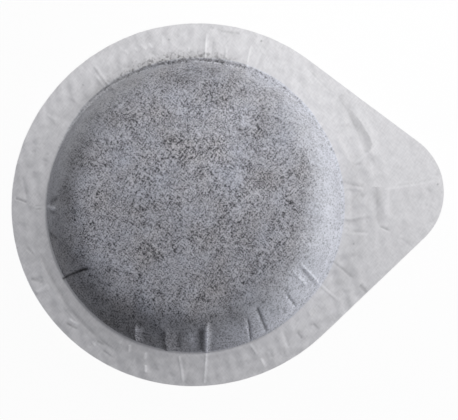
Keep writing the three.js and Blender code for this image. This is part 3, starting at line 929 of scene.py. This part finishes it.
@dataclass
class PaperSheet:
    """One of the two sheets: drawn over the puck, folded at the wall's foot and cut to the rim's outline.

    Sizes are in mm. The section is the sheet's outer face, from the puck's axis to the rim. At the rim the
    sheet turns round its cut edge and ends in a narrow lip, out of sight between the two sheets.
    """

    piece: Piece
    sizes: PodSizes
    up: int
    wall_run: float
    shoulder_setback: float
    crown: float
    lift: float
    gathers: tuple[Fold, ...]
    rim_folds: tuple[Fold, ...]
    trace: CoffeeTrace
    top_lump: float
    columns: int
    foot_setback: float = 0.3
    lip: float = 0.8

    # Rings of the mesh, and how much they crowd towards the foot and its columns towards the folds
    crown_rings: int = 8
    shoulder_rings: int = 24
    wall_rings: int = 10
    foot_rings: int = 5
    band_rings: int = 8
    rim_rings: int = 62
    ring_crowding: float = 1.5
    column_crowding: float = 1.5
    crowding_reach: float = 0.8  # degrees

    # Heights of the rim's broad waves and of its crinkle, and the lengths of all the ripples
    rim_wave: float = 0.03
    rim_crinkle: float = 0.05
    wave_length: float = 11.0
    crinkle_length: float = 2.1
    lump_length: float = 5.0

    # Lengths over which each kind of relief grows away from the foot of the wall
    gather_growth: float = 0.9
    ripple_growth: float = 1.5
    crease_growth: float = 0.5

    # Where the lumps of the top start and where the tab does, each with the length over which it grows,
    # and how much weaker the crinkle gets on the tab
    top_growth: Pair = (-3.0, 4.0)
    tab_growth: Pair = (4.5, 3.0)
    tab_calm: float = 0.6

    @property
    def wall_height(self) -> float:
        """Works out the height of the wall.

        Returns:
            The height from the seal to the shoulder.
        """
        sizes = self.sizes
        if self.up > 0:
            return sizes.top_height - sizes.seal_height - sizes.thickness - self.crown
        return sizes.seal_height - sizes.thickness

    def section(self) -> Array:
        """Draws the section.

        Returns:
            Radius and height of each of its points, outwards from the axis.
        """
        sizes = self.sizes
        lean = math.tan(math.atan2(self.wall_height - self.lift, self.wall_run) / 2)
        outwards = sizes.thickness * lean
        shoulder_radius = sizes.foot_radius - self.wall_run + outwards
        slope = 2 * self.crown / (shoulder_radius + self.shoulder_setback)
        crown_radius = shoulder_radius - self.shoulder_setback
        middle = np.array([0.0, self.wall_height + self.crown])
        crown_control = np.array([crown_radius / 2, self.wall_height + self.crown])
        crown_end = np.array([crown_radius, self.wall_height + self.shoulder_setback * slope])
        shoulder = np.array([shoulder_radius, self.wall_height])
        foot = np.array([sizes.foot_radius + outwards, self.lift])
        seal = np.array([sizes.seal_radius, 0.0])
        rim = np.array([sizes.rim_radius, 0.0])
        crown = curve(middle, crown_control, crown_end, self.crown_rings)
        rounded = bend(crown_end, shoulder, foot, self.shoulder_setback, self.shoulder_rings)
        folded = bend(shoulder, foot, seal, self.foot_setback, self.foot_rings)
        climb = np.linspace(1, 0, self.wall_rings + 1)[:, None] ** self.ring_crowding
        wall = climb * rounded[-1] + (1 - climb) * folded[0]
        band = np.linspace(folded[-1], seal, self.band_rings + 1)
        flat = np.linspace(seal, rim, self.rim_rings + 1)
        points = np.concatenate([crown, rounded[1:], wall[1:], folded[1:], band[1:], flat[1:]])
        points[:, 1] = sizes.seal_height + self.up * (points[:, 1] + sizes.thickness)
        return points

    def build(self, paper: bpy.types.Material) -> bpy.types.Object:
        """Models the sheet and dresses it.

        Args:
            paper: The sheet's material.

        Returns:
            The sheet, in place of its solid.
        """
        section = self.section()
        sheet = self._turned(section)
        self._shape(sheet, section)
        bpy.ops.object.shade_smooth_by_angle(angle=math.radians(SMOOTH_ANGLE))
        sheet.data.materials.append(paper)
        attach(sheet, BODY)
        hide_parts(self.piece.value)
        return sheet

    def _turned(self, section: Array) -> bpy.types.Object:
        """Turns the section, with the cut edge and the lip, about the puck's axis.

        Args:
            section: Radius and height of the section's points.

        Returns:
            The sheet, still round.
        """
        rim_radius, seal_height = self.sizes.rim_radius, self.sizes.seal_height
        profile = (*section, (rim_radius, seal_height), (rim_radius - self.lip, seal_height))
        points = [Vector((radius * MM, 0, height * MM)) for radius, height in profile]
        bpy.ops.object.select_all(action="DESELECT")
        bpy.ops.mesh.primitive_plane_add(size=MM)
        sheet = bpy.context.active_object
        sheet.name = self.piece.value + "_sheet"
        bpy.ops.object.mode_set(mode="EDIT")
        bpy.ops.mesh.select_all(action="SELECT")
        bpy.ops.mesh.merge(type="CENTER")
        bpy.ops.transform.translate(value=points[0])
        for start, end in pairwise(points):
            bpy.ops.mesh.extrude_vertices_move(TRANSFORM_OT_translate={"value": end - start})
        bpy.ops.mesh.select_all(action="SELECT")
        bpy.ops.mesh.spin(steps=self.columns, angle=FULL_TURN, center=(0, 0, 0), axis=(0, 0, 1))
        bpy.ops.mesh.select_all(action="SELECT")
        bpy.ops.mesh.remove_doubles(threshold=MERGE_DISTANCE)
        bpy.ops.mesh.normals_make_consistent(inside=False)
        bpy.ops.object.mode_set(mode="OBJECT")
        return sheet

    def _columns_at(self, angle: Array) -> Array:
        """Draws the turned columns closer together where folds run.

        Args:
            angle: The columns' even angles.

        Returns:
            Their angles once drawn together.
        """
        grid = np.linspace(0, FULL_TURN, COLUMN_GRID)
        density = self.sizes.outline(grid) / self.sizes.rim_radius
        for fold in self.gathers + self.rim_folds:
            for (start, inner), (end, outer) in pairwise(fold.path):
                turn = abs(math.radians(end - start))
                climb = abs(outer - inner) / self.sizes.foot_radius
                apart = np.angle(np.exp(1j * (grid - math.radians((start + end) / 2))))
                crowding = self.column_crowding * (climb / (climb + turn))
                density += crowding * bell(apart, 0, math.radians(self.crowding_reach) + turn / 2)
        share = np.concatenate([[0], np.cumsum((density[1:] + density[:-1]) / 2)])
        return np.interp(angle, share / share[-1] * FULL_TURN, grid)

    def _shape(self, sheet: bpy.types.Object, section: Array) -> None:
        """Draws the rim out to its outline, presses the folds in and marks the sheet.

        Args:
            sheet: The turned sheet.
            section: The section that it was turned from.
        """
        sizes = self.sizes
        mesh = sheet.data
        turned = np.empty(len(mesh.vertices) * 3)
        mesh.vertices.foreach_get("co", turned)
        turned = turned.reshape(-1, 3) / MM
        radius = np.hypot(turned[:, 0], turned[:, 1])
        angle = self._columns_at(np.arctan2(turned[:, 1], turned[:, 0]) % FULL_TURN)
        across = np.stack([np.cos(angle), np.sin(angle)], axis=1)
        drawn = np.clip((radius - sizes.seal_radius) / (sizes.rim_radius - sizes.seal_radius), 0, 1)
        reach = radius + drawn * (sizes.outline(angle) - sizes.rim_radius)
        plan = across * reach[:, None] + np.outer(drawn, sizes.rim_centre)

        steps = np.hypot(*np.diff(section, axis=0).T)
        lengths = np.concatenate([[0], np.cumsum(steps)])
        run = np.interp(radius, section[:, 0], lengths)
        outward = run - np.interp(sizes.foot_radius + sizes.thickness, section[:, 0], lengths)
        laid_flat = across * (sizes.foot_radius + outward)[:, None]
        unrolled = np.where((outward < 0)[:, None], laid_flat, plan)
        slope = np.gradient(section, lengths, axis=0)
        lean = -self.up * np.interp(run, lengths, slope[:, 1])
        rise = np.interp(run, lengths, slope[:, 0])

        relief, tone = self._relief(plan, unrolled, outward)
        place = np.empty_like(turned)
        place[:, :2] = plan + across * (lean * relief)[:, None]
        place[:, 2] = turned[:, 2] + self.up * rise * relief
        mesh.vertices.foreach_set("co", (place * MM).ravel())
        marks = self.trace.marks(np.degrees(angle), outward, plan)
        marks[Mark.PAINTED_LIGHT_AND_TONE] += tone
        for mark, value in marks.items():
            attribute = mesh.attributes.new(mark.value, "FLOAT", "POINT")
            attribute.data.foreach_set("value", value.astype(np.float32))
        mesh.update()

    def _relief(self, plan: Array, unrolled: Array, outward: Array) -> tuple[Array, Array]:
        """Adds up the folds, the ripples of the rim and the lumps of the top.

        Args:
            plan: The sheet's points in plan, in mm.
            unrolled: The same points with the wall laid flat.
            outward: Their distances outwards from the foot of the wall, in mm.

        Returns:
            How far each point stands out, in mm, and how much lighter the folds' painted light and shade make
            it.
        """
        foot_radius = self.sizes.foot_radius
        tone = np.zeros(len(plan))
        gathered = np.zeros(len(plan))
        for fold in self.gathers:
            height, lighter = fold.press(unrolled, foot_radius)
            gathered += height
            tone += lighter
        gathered *= smooth(-outward / self.gather_growth)
        start, growth = self.tab_growth
        tab_share = smooth((np.hypot(*plan.T) - foot_radius - start) / growth)
        wave = self.rim_wave * ripples(plan, self.wave_length, WAVE_SEED)
        crinkle = self.rim_crinkle * (1 - self.tab_calm * tab_share)
        crinkle *= ripples(plan, self.crinkle_length, CRINKLE_SEED)
        rim = smooth(outward / self.ripple_growth) * (wave + crinkle)
        for fold in self.rim_folds:
            height, lighter = fold.press(unrolled, foot_radius)
            rim += height * smooth(outward / self.crease_growth)
            tone += lighter
        lumps = self.top_lump * ripples(plan, self.lump_length, LUMP_SEED)
        start, growth = self.top_growth
        lumps *= smooth((start - outward) / growth)
        return gathered + lumps + self.up * rim, tone


@dataclass(frozen=True)
class Lamp:
    """A round soft lamp that hangs near the pod and shines at its middle.

    Attributes:
        name: Its name.
        side: The side that it hangs on, in degrees round from the tab.
        rise: How high it hangs, in degrees above the table.
        level: How brightly it lights a white sheet on the table.
        casts: Whether it casts shadows.
        distance: How far away it hangs, in mm.
        size: Its diameter, in mm.
    """

    name: str
    side: float
    rise: float
    level: float
    casts: bool = True
    distance: float = 100.0
    size: float = 60.0

    def hang(self) -> None:
        """Hangs the lamp, at a power that gives its level in the middle of the pod."""
        rise = math.radians(self.rise)
        turn = Matrix.Rotation(math.radians(self.side), 3, "Z") @ Matrix.Rotation(-rise, 3, "Y")
        place = turn @ Vector((self.distance * MM, 0, 0))
        lamp = bpy.data.lights.new(self.name, "AREA")
        lamp.shape = "DISK"
        lamp.size = self.size * MM
        lamp.use_shadow = self.casts
        lamp.energy = self.level * math.pi**2 * place.length_squared / math.sin(rise)
        hung = bpy.data.objects.new(self.name, lamp)
        hung.matrix_world = Matrix.Translation(place) @ place.to_track_quat("Z", "Y").to_matrix().to_4x4()
        bpy.context.scene.collection.objects.link(hung)


LAMPS = (
    Lamp("main_lamp", side=60.0, rise=50.0, level=0.12),
    Lamp("glow_lamp", side=60.0, rise=50.0, level=0.37, casts=False),
    Lamp("side_lamp", side=350.0, rise=15.0, level=0.055),
)


@dataclass(frozen=True)
class Studio:
    """A white table under soft lamps, with a little light from all round.

    Sizes are in mm and angles in degrees.
    """

    sizes: PodSizes
    tilt: float = 11.2
    near_side: float = 282.2
    tab_turn: float = 3.08
    distance: float = 500.0
    pixels_per_mm: float = 6.713
    rim_pixel: Pair = (195.29, 202.78)
    sensor: float = 36.0
    fill_level: float = 0.25
    fill_colour: str = "#f4f6ff"
    floor_size: float = 1600.0
    floor_colour: str = "#f2f2f2"
    floor_glow: float = 0.95

    def build(self) -> None:
        """Sets up the floor, the light and the camera."""
        bpy.context.scene.view_settings.view_transform = "Standard"
        self._floor()
        for lamp in LAMPS:
            lamp.hang()
        self._fill()
        self._camera()

    def _floor(self) -> None:
        """Lays the table: white to the eye, and lit and shaded as plain card is."""
        bpy.ops.object.select_all(action="DESELECT")
        bpy.ops.mesh.primitive_plane_add(size=self.floor_size * MM)
        floor = bpy.context.active_object
        floor.name = "table"
        material = new_material("white_card")
        tree = material.node_tree
        card = add_node(tree, "BsdfDiffuse", {"Color": hex_to_linear(self.floor_colour)})
        white = add_node(tree, "Emission", {"Strength": 1.0})
        view = self._straight_view(tree)
        seen = add_node(tree, "Math", {0: view, 1: self.floor_glow}, operation="MULTIPLY")
        top = add_node(tree, "MixShader", {0: seen, 1: card, 2: white})
        below = add_node(tree, "NewGeometry").outputs["Backfacing"]
        clear = add_node(tree, "BsdfTransparent")
        surface = add_node(tree, "MixShader", {0: below, 1: top, 2: clear})
        add_node(tree, "OutputMaterial", {"Surface": surface})
        floor.data.materials.append(material)

    @staticmethod
    def _straight_view(tree: Tree) -> Source:
        """Tells what is seen, straight or in a reflection, from what only lights the pod.

        Args:
            tree: The nodes of the table or the world.

        Returns:
            1 for what is seen, and 0 for the rest.
        """
        path = add_node(tree, "LightPath").outputs
        seen = path["Is Camera Ray"]
        for name in ("Is Glossy Ray", "Is Transmission Ray"):
            seen = add_node(tree, "Math", {0: seen, 1: path[name]}, operation="MAXIMUM")
        return seen

    def _fill(self) -> None:
        """Fills the shadows from all round, in front of a white background."""
        world = bpy.data.worlds.new("studio")
        bpy.context.scene.world = world
        world.use_nodes = True
        tree = world.node_tree
        tree.nodes.clear()
        colour = hex_to_linear(self.fill_colour)
        fill = add_node(tree, "Background", {"Color": colour, "Strength": self.fill_level})
        white = add_node(tree, "Background", {"Color": (1, 1, 1, 1), "Strength": 1.0})
        surface = add_node(tree, "MixShader", {0: self._straight_view(tree), 1: fill, 2: white})
        add_node(tree, "OutputWorld", {"Surface": surface})

    def _camera(self) -> None:
        """Places the camera above the pod, a little to its near side."""
        tilt = math.radians(self.tilt)
        near = math.radians(self.near_side)
        turn = near + math.radians(self.tab_turn)
        towards = Vector((math.cos(near), math.sin(near), 0))
        beside = Vector((-towards.y, towards.x, 0))
        upright = Vector((0, 0, 1))
        back = math.sin(tilt) * towards + math.cos(tilt) * upright
        down = math.cos(tilt) * towards - math.sin(tilt) * upright
        right = math.cos(turn) * down - math.sin(turn) * beside
        above = math.sin(turn) * down + math.cos(turn) * beside
        sizes = self.sizes
        rim = Vector((*sizes.rim_centre, sizes.seal_height + sizes.thickness))
        shift_right = (IMAGE_SIZE[0] / 2 - self.rim_pixel[0]) / self.pixels_per_mm
        shift_up = (self.rim_pixel[1] - IMAGE_SIZE[1] / 2) / self.pixels_per_mm
        place = rim + back * self.distance + right * shift_right + above * shift_up
        camera = bpy.data.cameras.new("camera")
        camera.sensor_width = self.sensor
        camera.lens = self.pixels_per_mm * self.distance * self.sensor / IMAGE_SIZE[0]
        camera.clip_start = MM
        held = bpy.data.objects.new("camera", camera)
        turned = Matrix((right, above, back)).transposed().to_4x4()
        held.matrix_world = Matrix.Translation(place * MM) @ turned
        bpy.context.scene.collection.objects.link(held)
        bpy.context.scene.camera = held


def main() -> None:
    """Builds the pod, piece by piece, and the studio round it."""
    logging.basicConfig(level=logging.INFO, format="%(name)s: %(message)s")
    sizes = PodSizes.from_frame()
    paper = FilterPaper().material()
    fine_creases = scattered_creases(RIM_CREASE_SEED, count=75, reach=(0.8, 4.5), height=0.1)
    rim_folds = RIM_CREASES + TAB_FOLDS + fine_creases
    lower_gathers = scattered_creases(LOWER_GATHER_SEED, count=30, reach=(-3.0, -0.5), height=0.25)
    upper = PaperSheet(
        Piece.UPPER_PAPER, sizes, up=1, wall_run=2.2, shoulder_setback=3.8, crown=1.1, lift=-0.1,
        gathers=GATHERS, rim_folds=rim_folds, trace=UPPER_TRACE, top_lump=0.05, columns=800,
    )
    lower = PaperSheet(
        Piece.LOWER_PAPER, sizes, up=-1, wall_run=2.6, shoulder_setback=1.2, crown=0.0, lift=0.2,
        gathers=lower_gathers, rim_folds=rim_folds, trace=CoffeeTrace(), top_lump=0.0, columns=500,
    )
    for sheet in (upper, lower):
        built = sheet.build(paper)
        LOG.info("%s: %d faces", built.name, len(built.data.polygons))
    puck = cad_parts[Piece.PUCK.value]
    puck.data.materials.clear()
    puck.data.materials.append(GroundCoffee().material())
    LOG.info("%s: %d faces", puck.name, len(puck.data.polygons))
    Studio(sizes).build()


if __name__ == "__main__":
    main()
